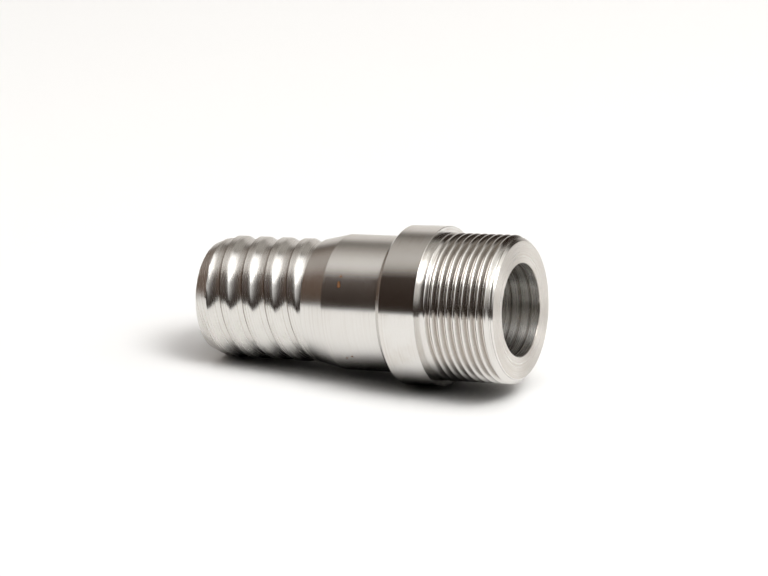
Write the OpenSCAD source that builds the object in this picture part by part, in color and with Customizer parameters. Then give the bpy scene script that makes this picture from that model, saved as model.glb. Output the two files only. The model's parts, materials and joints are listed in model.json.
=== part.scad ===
// Hose coupling turned from one bar of stainless steel.
// A threaded end, a collar, a plain body, a short neck and a ribbed hose tail share one axis and one bore.
// The axis is Z. The flat face of the threaded end is at Z = 0 and the hose tail is at the top.
// Lengths are in millimetres and angles in degrees.

/* [Threaded end] */
// Outside diameter over the crests of the pipe thread
thread_d = 41.91; // [33.25:0.01:60.3]
// Length from the flat end face to the collar
thread_l = 22.5; // [14:0.5:40]
// Distance from one thread crest to the next along the axis
thread_pitch = 2.309; // [1.4:0.001:3]
// Width of the flat on each thread crest
crest_flat = 0.4; // [0.1:0.05:0.6]
// Length left plain between the last thread groove and the collar
thread_end_l = 2.2; // [1:0.1:5]
// Width of the 45 degree bevel at the end face
end_bevel = 1.7; // [0.3:0.1:3]

/* [Collar] */
// How far the collar stands out past the thread, all round
collar_rim = 1.8; // [1:0.1:10]
// Length of the collar along the axis
collar_l = 12.6; // [5:0.1:30]
// Width of the 45 degree chamfer on the collar's edge toward the body
collar_chamfer = 1.7; // [0.2:0.1:2.5]

/* [Body and neck] */
// How much smaller the plain body is than the thread, in diameter
body_relief = 3; // [0.5:0.1:6]
// Length of the plain body
body_l = 18; // [4:0.5:60]
// Length of the cone from the body down to the hose tail
neck_l = 7.3; // [2:0.1:20]
// Step at the neck's small end, down to the crests of the ribs, all round
neck_step = 0.15; // [0.1:0.05:1]

/* [Hose tail] */
// Outside diameter over the crests of the ribs
tail_d = 35.5; // [30.5:0.1:38]
// Length of the ribbed tail
tail_l = 35.2; // [20:0.1:90]
// Distance from one rib to the next along the axis
rib_pitch = 7.25; // [4:0.05:12]
// Depth of the grooves between the ribs
rib_depth = 0.8; // [0.3:0.05:1.6]
// Number of ribs that wind side by side, as the starts of a screw do
rib_starts = 2; // [1:1:3]
// Share of the pitch that a groove takes, the rest being the flat top of a rib
groove_share = 0.63; // [0.4:0.01:0.85]
// Where a groove is deepest, as a share of its width from its steep wall
groove_low = 0.41; // [0.2:0.01:0.8]
// How far a groove's floor rises again toward its steep wall, as a share of its depth
groove_rise = 0.25; // [0:0.05:0.8]
// Height, above the neck, of the foot of a steep wall on the side of the part that faces -Y
rib_offset = 4.65; // [0:0.05:7]
// Length of the lead-in taper at the open end
lead_in_l = 4.6; // [1:0.1:10]
// Depth of the lead-in taper at the open end, all round
lead_in_depth = 1.8; // [0.2:0.1:2]

/* [Bore] */
// Diameter of the bore that runs right through
bore_d = 26.2; // [10:0.1:27]

/* [Hidden] */

// Facets of the turned surfaces
$fn = 96;
// Corners across one groove and across one rib's flat top, and the height of one row of their facets
groove_sides = 12;
flat_sides = 7;
row_target = 0.49;
// Share of the pitch that a steep wall takes
wall_share = 0.04;
// Depth of the thread as a share of its pitch
thread_depth_share = 0.64;
// Overlap of solids that are joined, and the reach of a cut past its faces
joint_lap = 1;

thread_r = thread_d / 2;
face_r = thread_r - end_bevel;
collar_r = thread_r + collar_rim;
body_r = thread_r - body_relief / 2;
crest_r = tail_d / 2;
neck_r = crest_r + neck_step;

z_collar = thread_l;
z_body = z_collar + collar_l;
z_neck = z_body + body_l;
z_tail = z_neck + neck_l;
z_end = z_tail + tail_l;

// The thread's grooves are rings. The first one starts one crest flat past the bevel.
groove_r = thread_r - thread_depth_share * thread_pitch;
z_first_groove = end_bevel + crest_flat;
thread_grooves = floor((z_collar - thread_end_l + crest_flat - z_first_groove) / thread_pitch);

// Rows of facets along the tail. The lowest one is sunk into the neck.
z_rib_start = z_tail - joint_lap;
rib_rows = ceil((z_end - z_rib_start) / row_target);
row_h = (z_end - z_rib_start) / rib_rows;

// Angle of the side that rib_offset is measured on, counted from +X towards +Y
offset_side = -90;

// Shares of a pitch, counted from the foot of a steep wall, at which the corners lie: across the groove,
// across the flat top and on the edge of the next steep wall
flat_share = 1 - wall_share - groove_share;
corner_shares = [
    for (i = [0 : groove_sides - 1]) groove_share * i / groove_sides,
    for (i = [0 : flat_sides]) groove_share + flat_share * i / flat_sides
];
rib_corners = len(corner_shares);
rib_sides = rib_starts * rib_corners;

// Share of the rib depth that is cut away at this share of a pitch: a floor that rises in a curve to both
// sides of its lowest line, the flat top, and the steep wall
function cut_share(share) =
    let (across = share / groove_share)
    share >= 1 - wall_share ? (1 - groove_rise) * (share - 1 + wall_share) / wall_share :
    across >= 1 ? 0 :
    across > groove_low ? 1 - pow((across - groove_low) / (1 - groove_low), 2) :
    1 - groove_rise * pow((groove_low - across) / groove_low, 2);

// Radius of the lead-in taper at this height
function lead_in_r(z) = crest_r - lead_in_depth * (1 - (z_end - z) / lead_in_l);

// Corner of the ribbed tail on this side, at this height. The corners turn with the height, so that each
// edge of a rib is one line. The ribs climb to the right, as the thread does.
function tail_corner(side, z) =
    let (share = corner_shares[side % rib_corners])
    let (pitches = (z - z_tail - rib_offset) / rib_pitch - share - floor(side / rib_corners))
    let (angle = offset_side + pitches * 360 / rib_starts)
    let (r = min(crest_r - rib_depth * cut_share(share), lead_in_r(z)))
    [r * cos(angle), r * sin(angle), z];

// End bevel, thread, collar, body and neck, drawn as half a section
module turned_section() {
    polygon([
        [0, 0],
        [face_r, 0],
        [thread_r, end_bevel],
        for (i = [0 : thread_grooves - 1])
            let (z = z_first_groove + i * thread_pitch)
            each [
                [thread_r, z],
                [groove_r, z + (thread_pitch - crest_flat) / 2],
                [thread_r, z + thread_pitch - crest_flat]
            ],
        [thread_r, z_collar],
        [collar_r, z_collar],
        [collar_r, z_body - collar_chamfer],
        [collar_r - collar_chamfer, z_body],
        [body_r, z_body],
        [body_r, z_neck],
        [neck_r, z_tail],
        [0, z_tail]
    ]);
}

// Closed solid of the ribbed tail: rings of corners, one ring to a row, with a flat cap at each end.
// Along a ring the corners run clockwise, seen from the open end.
module ribbed_tail() {
    corners = [
        for (row = [0 : rib_rows], side = [0 : rib_sides - 1])
            tail_corner(side, z_rib_start + row * row_h)
    ];
    walls = [
        for (row = [0 : rib_rows - 1], side = [0 : rib_sides - 1])
            let (here = row * rib_sides + side)
            let (next = row * rib_sides + (side + 1) % rib_sides)
            each [
                [here, next, next + rib_sides],
                [here, next + rib_sides, here + rib_sides]
            ]
    ];
    bottom_cap = [for (side = [rib_sides - 1 : -1 : 0]) side];
    top_cap = [for (side = [0 : rib_sides - 1]) rib_rows * rib_sides + side];
    polyhedron(points = corners, faces = concat(walls, [bottom_cap, top_cap]));
}

module through_bore() {
    translate([0, 0, -joint_lap])
        cylinder(h = z_end + 2 * joint_lap, d = bore_d);
}

module hose_coupling() {
    color([0.68, 0.67, 0.65])
        difference() {
            union() {
                rotate_extrude()
                    turned_section();
                ribbed_tail();
            }
            through_bore();
        }
}

hose_coupling();
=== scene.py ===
"""Finish and studio of a turned stainless steel hose coupling, laid out as an add-on.

The coupling is one closed surface. Turned stretches are a section carried round the axis. The pipe thread and
the ribs of the hose tail are helical skins whose rows of points follow the helix, so that every crest and
groove is a clean line. Lengths are in metres, the axis of the part is Z and its flat end face is at Z = 0.
"""

import json
import math

import bmesh
import bpy
import numpy as np
from bpy.props import FloatProperty, FloatVectorProperty, IntProperty, PointerProperty
from mathutils import Matrix, Vector


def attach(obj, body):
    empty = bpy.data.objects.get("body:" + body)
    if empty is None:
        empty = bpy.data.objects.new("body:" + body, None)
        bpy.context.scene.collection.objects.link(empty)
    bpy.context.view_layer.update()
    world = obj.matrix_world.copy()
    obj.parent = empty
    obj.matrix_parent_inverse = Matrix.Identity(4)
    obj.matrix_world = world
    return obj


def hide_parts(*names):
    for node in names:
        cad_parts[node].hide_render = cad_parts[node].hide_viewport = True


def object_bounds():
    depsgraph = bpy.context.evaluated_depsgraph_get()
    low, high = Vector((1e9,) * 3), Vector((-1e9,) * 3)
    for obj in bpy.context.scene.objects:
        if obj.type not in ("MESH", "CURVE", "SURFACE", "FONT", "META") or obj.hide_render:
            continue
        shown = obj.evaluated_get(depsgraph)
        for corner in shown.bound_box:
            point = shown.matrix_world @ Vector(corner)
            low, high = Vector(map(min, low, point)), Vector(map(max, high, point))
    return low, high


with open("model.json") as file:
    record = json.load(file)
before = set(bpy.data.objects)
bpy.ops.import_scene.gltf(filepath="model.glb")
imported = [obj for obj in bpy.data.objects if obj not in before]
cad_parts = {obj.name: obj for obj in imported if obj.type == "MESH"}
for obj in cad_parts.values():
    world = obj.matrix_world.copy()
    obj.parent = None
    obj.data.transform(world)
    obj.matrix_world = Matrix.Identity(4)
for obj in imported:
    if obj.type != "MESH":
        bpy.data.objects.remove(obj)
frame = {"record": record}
CAD_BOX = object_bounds()

bl_info = {
    "name": "Turned hose coupling",
    "version": (1, 0, 0),
    "blender": (4, 5, 0),
    "location": "View3D > Sidebar > Coupling",
    "description": "Builds a turned steel hose coupling with its thread, ribs, finish and studio",
    "category": "Object",
}

MM = 0.001
INCH = 25.4 * MM
NODE = "hose_coupling"
MOUNTS = {mount["name"]: mount for mount in frame["record"]["mounts"]}
BORE_R = MOUNTS["bore"]["dims"]["r_mm"] * MM
THREAD_R = MOUNTS["threaded_end"]["dims"]["r_mm"] * MM
BEVEL = MOUNTS["collar_shoulder"]["pos_m"][2] - MOUNTS["threaded_end"]["dims"]["length_mm"] * MM
THREAD_L = MOUNTS["collar_shoulder"]["pos_m"][2]
COLLAR_R = CAD_BOX[1][1]
TOTAL_L = CAD_BOX[1][2]


def length(name, description, default):
    """Setting for a length, kept in metres."""
    return FloatProperty(name=name, description=description, default=default, min=0, unit="LENGTH",
                         precision=5)


def number(name, description, default, least=0, most=1):
    """Setting for a plain number between two ends."""
    return FloatProperty(name=name, description=description, default=default, min=least, max=most)


def steel_colour(name, description, default):
    """Setting for a colour."""
    return FloatVectorProperty(name=name, description=description, subtype="COLOR", size=3,
                               default=default, min=0, max=1)


class CouplingSizes(bpy.types.PropertyGroup):
    """Sizes of the turned part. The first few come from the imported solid."""

    bore_r: length("Bore radius", "Radius of the through bore", BORE_R)
    thread_r: length("Thread radius", "Radius over the thread's crests", THREAD_R)
    thread_l: length("Thread length", "From the end face to the collar", THREAD_L)
    thread_pitch: length("Thread pitch", "From one thread crest to the next", INCH / 11)
    thread_crest_z: length("Thread phase", "Height of a crest on the -Y side", 2.08 * MM)
    thread_end_z: length("Last full groove", "Height on the -Y side where the groove ends", 20.9 * MM)
    thread_fade: number("Thread run-out", "Turns over which the groove grows shallow", 0.8, 0.1, 3)
    bevel: length("End bevel", "Width of the bevel at the end face", BEVEL)
    collar_r: length("Collar radius", "Radius of the collar", COLLAR_R)
    collar_l: length("Collar length", "Length of the collar", 12.6 * MM)
    collar_chamfer: length("Collar chamfer", "Chamfer on the collar toward the body", 1.7 * MM)
    body_r: length("Body radius", "Radius of the plain body", THREAD_R - 1.5 * MM)
    body_l: length("Body length", "Length of the plain body", 18 * MM)
    neck_l: length("Neck length", "Length of the cone down to the hose tail", 7.3 * MM)
    neck_step: length("Neck step", "Step from the neck down to the rib crests", 0.15 * MM)
    crest_r: length("Rib radius", "Radius over the crests of the ribs", 17.75 * MM)
    rib_pitch: length("Rib pitch", "From one rib to the next", 7.25 * MM)
    rib_depth: length("Rib depth", "Depth of the grooves between the ribs", 0.8 * MM)
    rib_starts: IntProperty(name="Rib starts", description="Ribs that wind side by side", default=2, min=1)
    groove_share: number("Groove share", "Share of the pitch that a groove takes", 0.63, 0.1, 0.95)
    groove_low: number("Lowest line", "Lowest line of a groove, as a share of its width", 0.41, 0.1, 0.9)
    groove_rise: number("Floor rise", "Rise of the floor to its wall, as a share of the depth", 0.25)
    wall_share: number("Wall share", "Share of the pitch that a steep wall takes", 0.04, 0.01, 0.3)
    rib_offset: length("Rib phase", "Height above the neck of a wall's foot, on the -Y side", 4.65 * MM)
    lead_in_l: length("Lead-in length", "Length of the taper at the open end", 4.6 * MM)
    lead_in_depth: length("Lead-in depth", "Depth of the taper at the open end", 1.8 * MM)
    edge_r: length("Edge radius", "Rounding of the turned edges", 0.12 * MM)


class CouplingFinish(bpy.types.PropertyGroup):
    """Colours and roughness of the turned steel."""

    steel: steel_colour("Steel", "Colour of the bright steel", (0.725, 0.71, 0.685))
    worn_steel: steel_colour("Worn steel", "Colour of the deepest turning marks", (0.57, 0.52, 0.465))
    rust: steel_colour("Rust", "Colour of the rust specks", (0.27, 0.125, 0.055))
    # Colour of dirt and painted shade in the thread's grooves, and of painted shade inside the bore
    grime_and_shade: steel_colour("Grime", "Colour of the steel in the thread's grooves", (0.33, 0.26, 0.21))
    # Colour of the painted shade at the bore's rings and at the foot of each rib's wall
    painted_crease_shade: steel_colour("Deep grime", "Colour of the steel in corners and rings", (0.16, 0.12, 0.09))
    roughness: number("Roughness", "Roughness of the bright steel", 0.23)
    spread: number("Spread", "How far turning marks spread reflections along the part", 0.96)
    bore_feed: length("Bore rings", "Distance between the dark rings in the bore", 2.95 * MM)
    mark_gap: length("Turning marks", "Distance between turning marks", 0.45 * MM)


class StudioLook(bpy.types.PropertyGroup):
    """Camera and table of the photograph."""

    focal_px: FloatProperty(name="Focal length", description="Focal length in pixels of the photograph",
                            default=3000, min=1)
    table_roll: FloatProperty(name="Roll", description="Side of the part that lies uppermost, from +X",
                              default=math.radians(-14.9), subtype="ANGLE")


def settings():
    """Sizes, finish and studio look of this scene."""
    scene = bpy.context.scene
    return scene.coupling_sizes, scene.coupling_finish, scene.coupling_studio


# Sections and skins

# Points to a ring, and how far a holding point lies from its corner, counted in distances of the arc's end
SIDES = 240
HOLD = 1.6


def rounded_section(corners, steps=3):
    """Line through corners (height, radius, rounding). Each rounded corner becomes an arc that touches both
    of its sides: the arc's ends lie rounding / tan(half the corner's angle) from the corner. A holding point
    beyond each end keeps the shading of the long sides straight."""
    points = np.array([corner[:2] for corner in corners])
    line = [points[:1]]
    for before, here, after, rounding in zip(points[:-2], points[1:-1], points[2:],
                                             [corner[2] for corner in corners[1:-1]]):
        back = (before - here) / np.linalg.norm(before - here)
        on = (after - here) / np.linalg.norm(after - here)
        if rounding <= 0:
            line.append(here[None])
            continue
        half = math.acos(np.clip(back @ on, -1, 1)) / 2
        reach = rounding / math.tan(half)
        middle = here + (back + on) / np.linalg.norm(back + on) * rounding / math.sin(half)
        first, last = here + back * reach - middle, here + on * reach - middle
        start = math.atan2(first[1], first[0])
        sweep = (math.atan2(last[1], last[0]) - start + math.pi) % (2 * math.pi) - math.pi
        angles = start + sweep * np.linspace(0, 1, steps + 1)
        arc = middle + rounding * np.stack([np.cos(angles), np.sin(angles)], axis=1)
        line += [(here + back * reach * HOLD)[None], arc, (here + on * reach * HOLD)[None]]
    line.append(points[-1:])
    return np.concatenate(line)


def turned_rows(section):
    """Rings of points, one to each point of the section: x = r cos a, y = r sin a, z as in the section."""
    angle = np.arange(SIDES) * 2 * math.pi / SIDES
    z, r = section[:, :1], section[:, 1:]
    return np.stack(np.broadcast_arrays(r * np.cos(angle), r * np.sin(angle), z), axis=-1)


def ring_at(z, radius_at):
    """One ring of points whose radius follows the angle: r = radius_at(angle, z)."""
    angle = np.arange(SIDES) * 2 * math.pi / SIDES
    r = radius_at(angle, np.full(SIDES, z))
    return np.stack([r * np.cos(angle), r * np.sin(angle), np.full(SIDES, z)], axis=-1)[None]


def ring_faces(rows):
    """Four-sided faces between neighbouring rings, closed round the axis."""
    row, side = np.meshgrid(np.arange(rows - 1), np.arange(SIDES), indexing="ij")
    beside = (side + 1) % SIDES
    corners = [row * SIDES + side, row * SIDES + beside, (row + 1) * SIDES + beside, (row + 1) * SIDES + side]
    return np.stack(corners, axis=-1).reshape(-1, 4)


def helical_skin(lead, shares, start, bottom, top, radius_at):
    """Points and faces of a wall whose rows climb with a helix.

    Point (m, k) lies at angle m / SIDES turns and height start + lead * (m / SIDES + shares[k]), held
    between bottom and top, and its radius is radius_at(angle, height). The row after the last share is the
    first row one turn later, so the wall closes on itself. Its ends flatten into plain rings, where doubles
    are merged."""
    start -= lead * math.ceil((start + lead - bottom) / lead)
    turns = math.ceil((top - start) / lead)
    columns, rows = turns * SIDES, len(shares)
    m, k = np.meshgrid(np.arange(columns + SIDES + 1), np.arange(rows), indexing="ij")
    angle = (m % SIDES) * 2 * math.pi / SIDES
    z = np.clip(start + lead * (m / SIDES + np.asarray(shares)[k]), bottom, top)
    r = radius_at(angle, z)
    points = np.stack([r * np.cos(angle), r * np.sin(angle), z], axis=-1).reshape(-1, 3)
    m, k = np.meshgrid(np.arange(columns), np.arange(rows), indexing="ij")
    above = np.where(k == rows - 1, (m + SIDES) * rows, m * rows + k + 1)
    above_on = np.where(k == rows - 1, (m + 1 + SIDES) * rows, (m + 1) * rows + k + 1)
    faces = np.stack([m * rows + k, (m + 1) * rows + k, above_on, above], axis=-1).reshape(-1, 4)
    return points, faces


# Form of the thread and the ribs

# Half the angle between the flanks of a pipe thread, and, as shares of its pitch, the radius of its crests
# and grooves and its depth
FLANK_DEGREES = 27.5
ARC_SHARE = 0.137329
DEPTH_SHARE = 0.640327


def thread_radius(sizes):
    """Radius of the pipe thread at an angle and height. Crests and grooves are arcs, joined by flanks that
    drop 1 / tan(the flank's angle) for each step along the axis. The groove grows shallow over its last
    turn, and the end bevel cuts the crests down to its own cone."""
    pitch = sizes.thread_pitch
    flank = math.radians(FLANK_DEGREES)
    arc = ARC_SHARE * pitch
    arc_half, arc_drop = arc * math.cos(flank), arc * (1 - math.sin(flank))
    depth = DEPTH_SHARE * pitch
    last = (sizes.thread_end_z - sizes.thread_crest_z) / pitch
    face_r = sizes.thread_r - sizes.bevel
    end_r, fade = sizes.thread_r, sizes.thread_fade
    crest_z = sizes.thread_crest_z

    def radius_at(angle, z):
        turned = (angle + math.pi / 2) / (2 * math.pi)
        count = (z - crest_z) / pitch - turned
        away = np.abs(count - np.round(count)) * pitch
        crest = arc - np.sqrt(np.maximum(arc ** 2 - np.minimum(away, arc_half) ** 2, 0))
        straight = arc_drop + (away - arc_half) / math.tan(flank)
        to_groove = np.minimum(pitch / 2 - away, arc_half)
        groove = depth - arc + np.sqrt(np.maximum(arc ** 2 - to_groove ** 2, 0))
        cut = np.where(away < arc_half, crest, np.where(pitch / 2 - away < arc_half, groove, straight))
        along_groove = np.floor(count) + 0.5 + turned
        left = np.clip((last - along_groove) / fade, 0, 1)
        return np.minimum(end_r - cut * left, face_r + z)

    return radius_at


# Share of a pitch by which a point on a wall's foot is counted past it, against rounding
FOOT_NUDGE = 1e-6


def tail_radius(sizes, z_tail, z_end):
    """Radius of the ribbed tail at an angle and height. Past the foot of a steep wall, and with u the share
    of the groove's width, l the share at its lowest line and q the floor's rise, the tail loses
    depth * (1 - q * ((l - u) / l)^2) up to l and depth * (1 - ((u - l) / (1 - l))^2) up to the rib's edge.
    Then come the rib's flat top and the next wall. The lead-in taper turns the ribs down toward the open
    end."""
    pitch, starts, offset = sizes.rib_pitch, sizes.rib_starts, sizes.rib_offset
    groove, low, rise, wall = sizes.groove_share, sizes.groove_low, sizes.groove_rise, sizes.wall_share
    crest_r, depth = sizes.crest_r, sizes.rib_depth
    lead_in_l, lead_in_depth = sizes.lead_in_l, sizes.lead_in_depth

    def radius_at(angle, z):
        turned = (angle + math.pi / 2) / (2 * math.pi)
        count = (z - z_tail - offset) / pitch - starts * turned + FOOT_NUDGE
        share = count - np.floor(count)
        across = share / groove
        floor = np.where(across < low, 1 - rise * ((low - across) / low) ** 2,
                         1 - ((across - low) / (1 - low)) ** 2)
        step = (1 - rise) * np.clip((share - 1 + wall) / wall, 0, 1)
        cut = depth * np.where(across < 1, floor, step)
        taper = crest_r - lead_in_depth * (1 - (z_end - z) / lead_in_l)
        return np.minimum(crest_r - cut, taper)

    return radius_at


# Shares of a pitch at which the rows of the thread lie, from a crest to the middle of a flank
QUARTER_SHARES = (0, 0.05, 0.09, 0.1218, 0.25)
GROOVE_ROWS = 14
TOP_ROWS = 4


def thread_shares():
    """Shares of a pitch at which the rows of the thread lie. The groove mirrors the crest about the middle of
    the flank, and the way up mirrors the way down about the groove."""
    down = (*QUARTER_SHARES, *(0.5 - share for share in QUARTER_SHARES[-2::-1]))
    return (*down, *(1 - share for share in down[-2:0:-1]))


def rib_shares(sizes):
    """Shares of a pitch at which the rows of the ribs lie: the groove, the flat top, the edge of the wall."""
    groove = np.linspace(0, sizes.groove_share, GROOVE_ROWS, endpoint=False)
    top = np.linspace(sizes.groove_share, 1 - sizes.wall_share, TOP_ROWS)
    one = np.concatenate([groove, top])
    return np.concatenate([one + start for start in range(sizes.rib_starts)]) / sizes.rib_starts


def coupling_surface(sizes):
    """Points and faces of the whole coupling, stretch by stretch: bore and end face, thread, collar to neck,
    ribbed tail, tail end. Neighbouring stretches end on the same ring of points."""
    e = sizes.edge_r
    z_collar = sizes.thread_l
    z_body = z_collar + sizes.collar_l
    z_neck = z_body + sizes.body_l
    z_tail = z_neck + sizes.neck_l
    z_end = TOTAL_L
    face_r = sizes.thread_r - sizes.bevel
    neck_r = sizes.crest_r + sizes.neck_step
    tail_at = tail_radius(sizes, z_tail, z_end)
    tail_r = sizes.crest_r - sizes.lead_in_depth

    end_face = rounded_section([
        (z_end / 2, sizes.bore_r, 0), (0, sizes.bore_r, 2 * e), (0, face_r, 0),
    ])
    middle = rounded_section([
        (z_collar, sizes.thread_r, 0), (z_collar, sizes.collar_r, e),
        (z_body - sizes.collar_chamfer, sizes.collar_r, e),
        (z_body, sizes.collar_r - sizes.collar_chamfer, e), (z_body, sizes.body_r, 2 * e),
        (z_neck, sizes.body_r, 4 * e), (z_tail, neck_r, 0),
    ])
    tail_end = rounded_section([
        (z_end, tail_r, 0), (z_end, sizes.bore_r, 2 * e), (z_end / 2, sizes.bore_r, 0),
    ])
    thread = helical_skin(sizes.thread_pitch, thread_shares(),
                          sizes.thread_crest_z + sizes.thread_pitch / 4, 0, z_collar, thread_radius(sizes))
    ribs = helical_skin(sizes.rib_pitch * sizes.rib_starts, rib_shares(sizes),
                        z_tail + sizes.rib_offset + sizes.rib_pitch * sizes.rib_starts / 4,
                        z_tail, z_end, tail_at)
    stretches = []
    for rows in (
        turned_rows(end_face),
        np.concatenate([turned_rows(middle), ring_at(z_tail, tail_at)]),
        turned_rows(tail_end),
    ):
        stretches.append((rows.reshape(-1, 3), ring_faces(len(rows))))
    stretches += [thread, ribs]
    starts = np.cumsum([0] + [len(points) for points, faces in stretches[:-1]])
    return (np.concatenate([points for points, faces in stretches]),
            np.concatenate([faces + first for (points, faces), first in zip(stretches, starts)]))


# Points closer than this are merged, and edges sharper than this many degrees are left crisp
MERGE_REACH = 0.0004 * MM
CRISP_DEGREES = 32


def closed_mesh(name, points, faces):
    """Mesh of one closed solid: doubles merged, normals outward, sharp edges left crisp."""
    mesh = bpy.data.meshes.new(name)
    mesh.from_pydata(points, [], faces)
    shape = bmesh.new()
    shape.from_mesh(mesh)
    bmesh.ops.remove_doubles(shape, verts=shape.verts, dist=MERGE_REACH)
    bmesh.ops.recalc_face_normals(shape, faces=shape.faces)
    shape.to_mesh(mesh)
    shape.free()
    obj = bpy.data.objects.new(name, mesh)
    bpy.context.collection.objects.link(obj)
    bpy.context.view_layer.objects.active = obj
    obj.select_set(True)
    bpy.ops.object.shade_smooth_by_angle(angle=math.radians(CRISP_DEGREES))
    obj.select_set(False)
    return obj


# Shader maths

class Value:
    """A number that varies over a surface. Python's operators on it add Math nodes."""

    def __init__(self, shader, socket):
        self.shader, self.socket = shader, socket

    def maths(self, operation, *others):
        """This value and the others, put through a Math node."""
        return self.shader.maths(operation, self, *others)

    def __add__(self, other):
        return self.maths("ADD", other)

    def __sub__(self, other):
        return self.maths("SUBTRACT", other)

    def __rsub__(self, other):
        return self.shader.maths("SUBTRACT", other, self)

    def __mul__(self, other):
        return self.maths("MULTIPLY", other)

    def __truediv__(self, other):
        return self.maths("DIVIDE", other)

    def __pow__(self, other):
        return self.maths("POWER", other)

    __radd__ = __add__
    __rmul__ = __mul__

    def at_least(self, other):
        return self.maths("MAXIMUM", other)

    def at_most(self, other):
        return self.maths("MINIMUM", other)

    def smooth(self, low, high):
        """0 below low, 1 above high and a smooth step between them. Low may be the larger one."""
        if low > high:
            return 1 - self.smooth(high, low)
        return self.shader.node("ShaderNodeMapRange", {"interpolation_type": "SMOOTHSTEP"},
                                {"Value": self, "From Min": low, "From Max": high})


class Shader:
    """The node tree of one material."""

    def __init__(self, name):
        self.material = bpy.data.materials.new(name)
        self.material.use_nodes = True
        self.tree = self.material.node_tree
        self.tree.nodes.clear()
        self.output = self.tree.nodes.new("ShaderNodeOutputMaterial")

    def node(self, kind, options=None, inputs=None, output=0):
        """Adds a node: its options first, then the values or links of its sockets. Returns one output."""
        new = self.tree.nodes.new(kind)
        for option, value in (options or {}).items():
            setattr(new, option, value)
        for socket, value in (inputs or {}).items():
            if isinstance(value, Value):
                self.tree.links.new(value.socket, new.inputs[socket])
            else:
                new.inputs[socket].default_value = value
        return Value(self, new.outputs[output])

    def maths(self, operation, *values):
        """Result of a Math node on values or plain numbers."""
        return self.node("ShaderNodeMath", {"operation": operation}, dict(enumerate(values)))

    def place(self):
        """Object coordinates as a vector, and as its x, y and z."""
        vector = self.node("ShaderNodeTexCoord", output="Object")
        return vector, [self.node("ShaderNodeSeparateXYZ", None, {0: vector}, output) for output in range(3)]

    def blend(self, share, first, second):
        """Colour between first and second."""
        return self.node("ShaderNodeMix", {"data_type": "RGBA"},
                         {"Factor": share, 6: first, 7: second}, output=2)

    def finish(self, surface):
        """The material, with this shader on its surface."""
        self.tree.links.new(surface.socket, self.output.inputs["Surface"])
        return self.material


def rgba(colour):
    """The colour with full cover, as colour sockets take it."""
    return (*colour, 1)


# Steel

# Lengths over which one region of the surface gives way to the next
CRISP_BLEND = 0.01 * MM
TAIL_BLEND = 0.2 * MM
THREAD_BLEND = 0.5 * MM
LEAD_IN_BLEND = 1.0 * MM
# Depths under the thread's crests at which dirt and painted shade start to brown the grooves and brown them
# fully
GROOVE_BROWN = (0.35 * MM, 1.2 * MM)
# Distances from the middle of a ring in the bore and from a rib's wall at which the painted shade starts and
# is full, as shares of the spacing
RING_DARK = (0.25, 0.03)
WALL_DARK = (0.075, 0.02)
# Share of dirt and painted shade in the thread's grooves, and of painted shade in the bore, in its rings and
# at the ribs' walls
GROOVE_DIRT_AND_SHADE = 0.35
BORE_PAINTED_SHADE = 0.05
RING_PAINTED_SHADE = 0.6
WALL_PAINTED_SHADE = 0.7
# What turning marks and blotches add to the roughness, and how much rougher each region is than the body
MARKS_ROUGH = 0.12
BLOTCHES_ROUGH = 0.08
REGION_ROUGH = {"collar": -0.07, "bore": 0.04, "thread": -0.06, "tail": 0.03, "face": 0.06}
LEAST_ROUGH = 0.05
# What turning marks, blotches and the end face add to the wear, and where the steel is bright and fully worn
MARKS_WEAR = 0.35
TAIL_MARKS_WEAR = 0.45
BLOTCHES_WEAR = 0.2
COLLAR_BLOTCHES_WEAR = 0.4
FACE_WEAR = 0.12
WEAR_ENDS = (-0.05, 0.3)
# How far the edges of the rust wander, the share at which its colour is full, the share at which it starts to
# hide the metal, how far it does, and how rough it is
RUST_WANDER = 0.9 * MM
RUST_COLOUR_FULL = 0.35
RUST_COVER_STARTS = 0.3
RUST_COVER = 0.75
RUST_ROUGH = 0.4
# Depth of the turning marks' relief, how far the light takes note of it, and the share that fine marks have
RELIEF_DEPTH = 0.02 * MM
RELIEF_STRENGTH = 0.12
FINE_SHARE = 0.3
# Quarter of a turn, which lays the spread of reflections across the turning marks
ACROSS_MARKS = 0.25
# Rust specks on the body: height above the end face and reach in millimetres, and angle from +X in degrees
RUST_SPECKS = (
    (47.9, -75.8, 0.85),
    (48.0, -73.2, 0.6),
    (47.7, -67.6, 0.45),
    (48.1, -143.8, 0.35),
    (46.2, -141.2, 0.35),
)


def surface_regions(sizes, finish, radius, z, rib_count):
    """How far a point belongs to each region of the surface, from 0 to 1. The bore's rounded mouths, the
    bevel and the end face fade over shares of their own size."""
    z_collar = sizes.thread_l
    z_body = z_collar + sizes.collar_l
    z_tail = z_body + sizes.body_l + sizes.neck_l
    z_lead_in = TOTAL_L - sizes.lead_in_l
    bore = radius.smooth(sizes.bore_r + 2 * sizes.edge_r, sizes.bore_r + 0.5 * sizes.edge_r)
    outside = 1 - bore
    tail = z.smooth(z_tail, z_tail + TAIL_BLEND) * outside
    thread = z.smooth(sizes.bevel, 1.3 * sizes.bevel) * z.smooth(z_collar, z_collar - THREAD_BLEND) * outside
    ribs = tail * z.smooth(z_lead_in + LEAD_IN_BLEND, z_lead_in - LEAD_IN_BLEND)
    brown_starts, brown_full = GROOVE_BROWN
    return {
        "bore": bore,
        "tail": tail,
        "thread": thread,
        "collar": z.smooth(z_collar - CRISP_BLEND, z_collar) * z.smooth(z_body, z_body - CRISP_BLEND),
        "face": z.smooth(0.3 * sizes.edge_r, 0) * outside,
        # groove is where dirt and painted shade brown the thread; ring and wall are where painted shade
        # darkens the bore's rings and the foot of each rib's wall
        "groove": thread * radius.smooth(sizes.thread_r - brown_starts, sizes.thread_r - brown_full),
        "ring": bore * (z / finish.bore_feed).maths("PINGPONG", 0.5).smooth(*RING_DARK),
        "wall": ribs * rib_count.maths("PINGPONG", 0.5).smooth(*WALL_DARK),
    }


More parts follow.
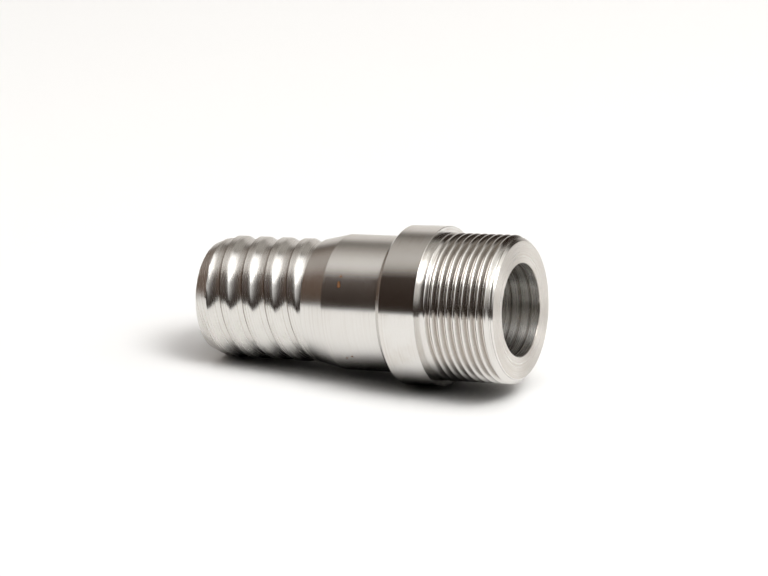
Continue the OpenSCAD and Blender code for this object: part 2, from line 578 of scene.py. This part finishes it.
def rust_on_body(shader, sizes, vector, blotches):
    """Share of rust at a point. Each speck grows from nothing at its wandering edge to full near its middle,
    at a fifth of its reach."""
    wander = (blotches - 0.5) * RUST_WANDER
    rusty = 0
    for height, degrees, reach in RUST_SPECKS:
        angle = math.radians(degrees)
        place = (sizes.body_r * math.cos(angle), sizes.body_r * math.sin(angle), height * MM)
        away = shader.node("ShaderNodeVectorMath", {"operation": "DISTANCE"}, {0: vector, 1: place},
                           output="Value")
        rusty = (away + wander).smooth(reach * MM, reach / 5 * MM) + rusty
    return rusty.at_most(1)


def turned_steel(sizes, finish):
    """Bright turned steel. Turning marks are rings: they follow height plus radius, so they run round the
    walls and round the flat faces alike, and on the tail they follow the ribs. They spread reflections along
    the part. The thread is smooth, and dirt and painted shade brown its grooves. Painted shade darkens the
    bore a little and lays a dark ring in it at every bore_feed, and a thin line at the foot of each rib's
    wall."""
    shader = Shader("turned_steel")
    vector, (x, y, z) = shader.place()
    radius = (x * x + y * y) ** 0.5
    z_tail = sizes.thread_l + sizes.collar_l + sizes.body_l + sizes.neck_l
    turned = (y.maths("ARCTAN2", x) + math.pi / 2) / (2 * math.pi)
    rib_count = (z - z_tail - sizes.rib_offset) / sizes.rib_pitch - turned * sizes.rib_starts
    on = surface_regions(sizes, finish, radius, z, rib_count)

    round_axis = z + radius
    along_rib = rib_count.maths("FRACT") * sizes.rib_pitch + radius
    along = (round_axis + on["tail"] * (along_rib - round_axis)) / finish.mark_gap
    marks = shader.node("ShaderNodeTexNoise", {"noise_dimensions": "1D"},
                        {"W": along, "Scale": 1, "Detail": 3, "Roughness": 0.6})
    fine_marks = shader.node("ShaderNodeTexNoise", {"noise_dimensions": "1D"},
                             {"W": along, "Scale": 4.3, "Detail": 2})
    blotches = shader.node("ShaderNodeTexNoise", None,
                           {"Vector": vector, "Scale": 110, "Detail": 4, "Roughness": 0.6})

    roughness = finish.roughness + (marks - 0.5) * MARKS_ROUGH + (blotches - 0.5) * BLOTCHES_ROUGH
    for region, rougher in REGION_ROUGH.items():
        roughness = roughness + on[region] * rougher
    wear = (marks - 0.5) * (MARKS_WEAR + TAIL_MARKS_WEAR * on["tail"])
    wear = wear + (blotches - 0.5) * (BLOTCHES_WEAR + COLLAR_BLOTCHES_WEAR * on["collar"])
    wear = wear + on["face"] * FACE_WEAR
    colour = shader.blend(wear.smooth(*WEAR_ENDS), rgba(finish.steel), rgba(finish.worn_steel))
    # The thread's grooves are browned partly by dirt and partly by painted shade in the recess
    colour = shader.blend(on["groove"] * GROOVE_DIRT_AND_SHADE, colour, rgba(finish.grime_and_shade))
    # Painted shade: the inside of the bore is darkened a little
    colour = shader.blend(on["bore"] * BORE_PAINTED_SHADE, colour, rgba(finish.grime_and_shade))
    # Painted shade at the bore's rings and at the foot of each rib's wall, where shade falls in the creases
    deep = (on["ring"] * RING_PAINTED_SHADE).at_least(on["wall"] * WALL_PAINTED_SHADE)
    colour = shader.blend(deep, colour, rgba(finish.painted_crease_shade))

    rusty = rust_on_body(shader, sizes, vector, blotches)
    colour = shader.blend(rusty.smooth(0, RUST_COLOUR_FULL), colour, rgba(finish.rust))
    cover = rusty.smooth(RUST_COVER_STARTS, 1) * RUST_COVER
    relief = (marks * (1 - FINE_SHARE) + fine_marks * FINE_SHARE) * (1 - on["thread"])
    bump = shader.node("ShaderNodeBump", None,
                       {"Strength": RELIEF_STRENGTH, "Distance": RELIEF_DEPTH, "Height": relief})
    return shader.finish(shader.node("ShaderNodeBsdfPrincipled", None, {
        "Base Color": colour,
        "Metallic": 1 - cover,
        "Roughness": (roughness + cover * RUST_ROUGH).at_least(LEAST_ROUGH),
        "Normal": bump,
        "Anisotropic": finish.spread,
        "Anisotropic Rotation": ACROSS_MARKS,
    }))


# Studio

def table_frame(sizes, studio):
    """The table's normal, its distance below the axis at the origin, and two directions in it.

    The part lies on its collar and on the crest of its last rib: sin(tilt) times the distance between them
    equals cos(tilt) times the difference of their radii."""
    collar_edge = sizes.thread_l + sizes.collar_l - sizes.collar_chamfer
    last_crest = TOTAL_L - sizes.lead_in_l
    tilt = math.atan2(sizes.collar_r - sizes.crest_r, last_crest - collar_edge)
    normal = np.array([math.cos(tilt) * math.cos(studio.table_roll),
                       math.cos(tilt) * math.sin(studio.table_roll), -math.sin(tilt)])
    depth = sizes.collar_r * math.cos(tilt) + collar_edge * math.sin(tilt)
    ahead = np.array([0, 0, -1.0])
    ahead -= ahead @ normal * normal
    ahead /= np.linalg.norm(ahead)
    return normal, depth, ahead, np.cross(normal, ahead)


def towards(table, azimuth, height):
    """Direction at an azimuth, from the threaded end round the table, and a height above the table."""
    normal, _depth, ahead, beside = table
    azimuth, height = math.radians(azimuth), math.radians(height)
    flat = math.cos(azimuth) * ahead + math.sin(azimuth) * beside
    return math.cos(height) * flat + math.sin(height) * normal


# Half the width of the table and the floor
SHEET_HALF = 3.0


def sheet(name, middle, along, across, material):
    """Flat square sheet whose front looks along the cross product of its two directions."""
    ends = np.array([[-1, -1], [1, -1], [1, 1], [-1, 1]]) * SHEET_HALF
    points = middle + ends[:, :1] * along + ends[:, 1:] * across
    mesh = bpy.data.meshes.new(name)
    mesh.from_pydata(points, [], [(0, 1, 2, 3)])
    obj = bpy.data.objects.new(name, mesh)
    mesh.materials.append(material)
    bpy.context.collection.objects.link(obj)
    return obj


# Brightness of the white card, the distance at which the part starts to darken it with painted shade, how
# much deeper the metal shows that painted shade, and the open share of the room at which the card is fully
# white
CARD_WHITE = 0.945
SHADE_REACH = 18 * MM
METAL_DEEPER = 0.17
FULL_WHITE = 0.37


def white_card(name):
    """Matt white, seen from its front only. It takes the lights' real shadows, and its colour also carries a
    painted shadow where little of the room is open to it, so that the shadow is deep next to the part and
    deeper still where the metal shows it."""
    shader = Shader(name)
    open_share = shader.node("ShaderNodeAmbientOcclusion", {"samples": 8}, {"Distance": SHADE_REACH},
                             output="AO")
    in_metal = shader.node("ShaderNodeLightPath", output="Is Glossy Ray")
    # Painted shadow: the card's colour darkens with the part's ambient occlusion, and more so in the metal's
    # reflections
    lit = (open_share - METAL_DEEPER * in_metal).smooth(0, FULL_WHITE)
    matt = shader.node("ShaderNodeBsdfDiffuse", None, {"Color": CARD_WHITE * lit})
    clear = shader.node("ShaderNodeBsdfTransparent")
    behind = shader.node("ShaderNodeNewGeometry", output="Backfacing")
    return shader.finish(shader.node("ShaderNodeMixShader", None, {"Fac": behind, 1: matt, 2: clear}))


# Lights and walls of the studio: azimuth and height of the middle and inner and outer reach in degrees, and
# the colour of their glow
PANELS = (
    ("left wall", (180, 15), (25, 48), (0.165, 0.110, 0.08)),
    ("back wall", (112, 8), (12, 34), (0.82, 0.78, 0.74)),
    ("left ceiling", (-165, 62), (8, 28), (0.35, 0.32, 0.29)),
    ("far ceiling", (165, 62), (8, 33), (0.50, 0.47, 0.435)),
    ("back ceiling", (105, 52), (6, 28), (0.46, 0.435, 0.40)),
    ("right wall", (18, 38), (14, 38), (1.15, 1.12, 1.07)),
    ("front cloth", (-40, 41), (12, 35), (1.15, 1.15, 1.14)),
    ("front window", (-22, 54), (4, 20), (12.0, 12.0, 11.9)),
    ("ceiling light", (-60, 82), (10, 30), (2.2, 2.2, 2.18)),
)
DARK_ROOM = (0.030, 0.020, 0.015)
# Height above the table's level, as its sine, where the room starts to turn white and where it is fully white
HORIZON = (0.07, -0.09)
DOME_R = 4.0


def studio_walls(table):
    """Glow of the studio by direction: dark room, then each panel laid over it with a soft edge, and white
    below the table's level."""
    shader = Shader("studio_walls")
    vector, _parts = shader.place()
    direction = shader.node("ShaderNodeVectorMath", {"operation": "NORMALIZE"}, {0: vector})
    colour = rgba(DARK_ROOM)
    for _name, middle, (inner, outer), glow in PANELS:
        facing = shader.node("ShaderNodeVectorMath", {"operation": "DOT_PRODUCT"},
                             {0: direction, 1: towards(table, *middle)}, output="Value")
        colour = shader.blend(facing.smooth(math.cos(math.radians(outer)), math.cos(math.radians(inner))),
                              colour, rgba(glow))
    rise = shader.node("ShaderNodeVectorMath", {"operation": "DOT_PRODUCT"},
                       {0: direction, 1: tuple(table[0])}, output="Value")
    colour = shader.blend(rise.smooth(*HORIZON), colour, (1, 1, 1, 1))
    return shader.finish(shader.node("ShaderNodeEmission", None, {"Color": colour, "Strength": 1.0}))


def dome(material):
    """Sphere round the studio: height sin(v), radius cos(v) of its rings. It is lit from within, and the
    camera looks through it."""
    rings, sides = 33, 64
    v, u = np.meshgrid(np.linspace(-math.pi / 2, math.pi / 2, rings), np.arange(sides) * 2 * math.pi / sides,
                       indexing="ij")
    points = DOME_R * np.stack([np.cos(v) * np.cos(u), np.cos(v) * np.sin(u), np.sin(v)], axis=-1)
    row, side = np.meshgrid(np.arange(rings - 1), np.arange(sides), indexing="ij")
    beside = (side + 1) % sides
    faces = np.stack([row * sides + side, (row + 1) * sides + side, (row + 1) * sides + beside,
                      row * sides + beside], axis=-1).reshape(-1, 4)
    mesh = bpy.data.meshes.new("studio_dome")
    mesh.from_pydata(points.reshape(-1, 3), [], faces)
    mesh.materials.append(material)
    obj = bpy.data.objects.new("studio_dome", mesh)
    bpy.context.collection.objects.link(obj)
    obj.visible_camera = False
    return obj


# Operators

class COUPLING_OT_body(bpy.types.Operator):
    """Build the turned coupling with its thread and ribs, in steel"""

    bl_idname = "coupling.body"
    bl_label = "Turned coupling"

    def execute(self, context):
        sizes, finish, _studio = settings()
        points, faces = coupling_surface(sizes)
        obj = closed_mesh("turned_coupling", points, faces)
        obj.data.materials.append(turned_steel(sizes, finish))
        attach(obj, "root")
        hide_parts(NODE)
        return {"FINISHED"}


# Middle of the floor under the standing part, for views from other sides. It lies just clear of the end face,
# and only the camera sees it.
FLOOR_MIDDLE = np.array([0, 0, -0.1 * MM])


class COUPLING_OT_stage(bpy.types.Operator):
    """Lay the white table under the part and set the studio's walls and lights round it"""

    bl_idname = "coupling.stage"
    bl_label = "Table and studio"

    def execute(self, context):
        sizes, _finish, studio = settings()
        table = table_frame(sizes, studio)
        normal, depth, ahead, beside = table
        sheet("table", -depth * normal, ahead, beside, white_card("white_table"))
        floor = sheet("floor", FLOOR_MIDDLE, np.array([1.0, 0, 0]), np.array([0, 1.0, 0]),
                      white_card("white_floor"))
        for ray in ("visible_diffuse", "visible_glossy", "visible_transmission", "visible_shadow"):
            setattr(floor, ray, False)
        dome(studio_walls(table))
        world = bpy.data.worlds.new("white_room")
        world.use_nodes = True
        world.node_tree.nodes["Background"].inputs["Color"].default_value = (1, 1, 1, 1)
        context.scene.world = world
        context.scene.view_settings.view_transform = "Standard"
        return {"FINISHED"}


# The camera's place and the point that it looks at are in millimetres, in the frame of the part
PHOTO_WIDTH_PX = 768
SENSOR_WIDTH_MM = 36
CAMERA_PLACE = (19.8, -768.5, -335.9)
CAMERA_AIM = (4.7, -17.0, 34.6)


class COUPLING_OT_camera(bpy.types.Operator):
    """Set the camera at the photograph's place, level with the table"""

    bl_idname = "coupling.camera"
    bl_label = "Camera"

    def execute(self, context):
        sizes, _finish, studio = settings()
        normal = Vector(table_frame(sizes, studio)[0])
        place, aim = Vector(CAMERA_PLACE) * MM, Vector(CAMERA_AIM) * MM
        back = (place - aim).normalized()
        right = normal.cross(back).normalized()
        up = back.cross(right)
        data = bpy.data.cameras.new("camera")
        data.sensor_width = SENSOR_WIDTH_MM
        data.lens = studio.focal_px * SENSOR_WIDTH_MM / PHOTO_WIDTH_PX
        data.clip_end = 4 * DOME_R
        camera = bpy.data.objects.new("camera", data)
        camera.matrix_world = Matrix.Translation(place) @ Matrix((right, up, back)).transposed().to_4x4()
        context.collection.objects.link(camera)
        context.scene.camera = camera
        return {"FINISHED"}


class COUPLING_PT_panel(bpy.types.Panel):
    """Steps that build the coupling"""

    bl_label = "Hose coupling"
    bl_space_type = "VIEW_3D"
    bl_region_type = "UI"
    bl_category = "Coupling"

    def draw(self, context):
        column = self.layout.column()
        for operator in OPERATORS:
            column.operator(operator.bl_idname)
        for group in settings():
            for name in group.bl_rna.properties.keys():
                if name not in ("rna_type", "name"):
                    column.prop(group, name)


OPERATORS = (COUPLING_OT_body, COUPLING_OT_stage, COUPLING_OT_camera)
GROUPS = (CouplingSizes, CouplingFinish, StudioLook)


def register():
    """Register the classes and hang the settings on the scene."""
    for cls in (*GROUPS, *OPERATORS, COUPLING_PT_panel):
        bpy.utils.register_class(cls)
    bpy.types.Scene.coupling_sizes = PointerProperty(type=CouplingSizes)
    bpy.types.Scene.coupling_finish = PointerProperty(type=CouplingFinish)
    bpy.types.Scene.coupling_studio = PointerProperty(type=StudioLook)


def unregister():
    """Take the settings and the classes away again."""
    del bpy.types.Scene.coupling_studio
    del bpy.types.Scene.coupling_finish
    del bpy.types.Scene.coupling_sizes
    for cls in reversed((*GROUPS, *OPERATORS, COUPLING_PT_panel)):
        bpy.utils.unregister_class(cls)


def main():
    """Build the part, its stage and the camera."""
    register()
    bpy.ops.coupling.body()
    bpy.ops.coupling.stage()
    bpy.ops.coupling.camera()


if __name__ == "__main__":
    main()
